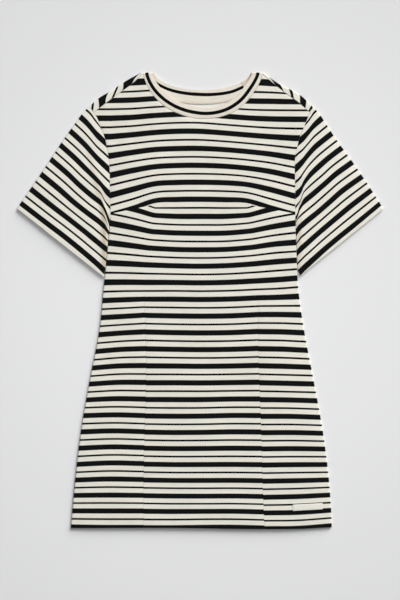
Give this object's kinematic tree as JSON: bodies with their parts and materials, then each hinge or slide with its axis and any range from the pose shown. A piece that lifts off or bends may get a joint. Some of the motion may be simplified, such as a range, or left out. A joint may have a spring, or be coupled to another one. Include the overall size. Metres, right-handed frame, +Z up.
{
  "type": "t-shirt dress laid flat",
  "caption": "Short-sleeved t-shirt dress in striped jersey, laid flat with its front up, with bust darts, waist darts and a ribbed round neckband.",
  "frame": {"origin": "the middle of the laid garment's outline, on the surface that it lies on", "axes": "+Z up out of the front, +Y along the garment from the hem to the neck, +X to the wearer's left"},
  "size_m": [0.694, 0.8672, 0.0072],
  "materials": {
    "striped_jersey": "heavy cotton jersey, cream with thick and thin black stripes",
    "neck_rib": "fine cotton rib, cream with one black stripe",
    "neck_tape": "plain cream jersey tape",
    "woven_label": "bare woven label"
  },
  "bodies": {
    "root": {"front": "striped_jersey", "back": "striped_jersey", "sleeve_left": "striped_jersey", "sleeve_right": "striped_jersey", "neckband": "neck_rib", "back_neck_tape": "neck_tape", "hem_label": "woven_label"}
  },
  "joints": []
}
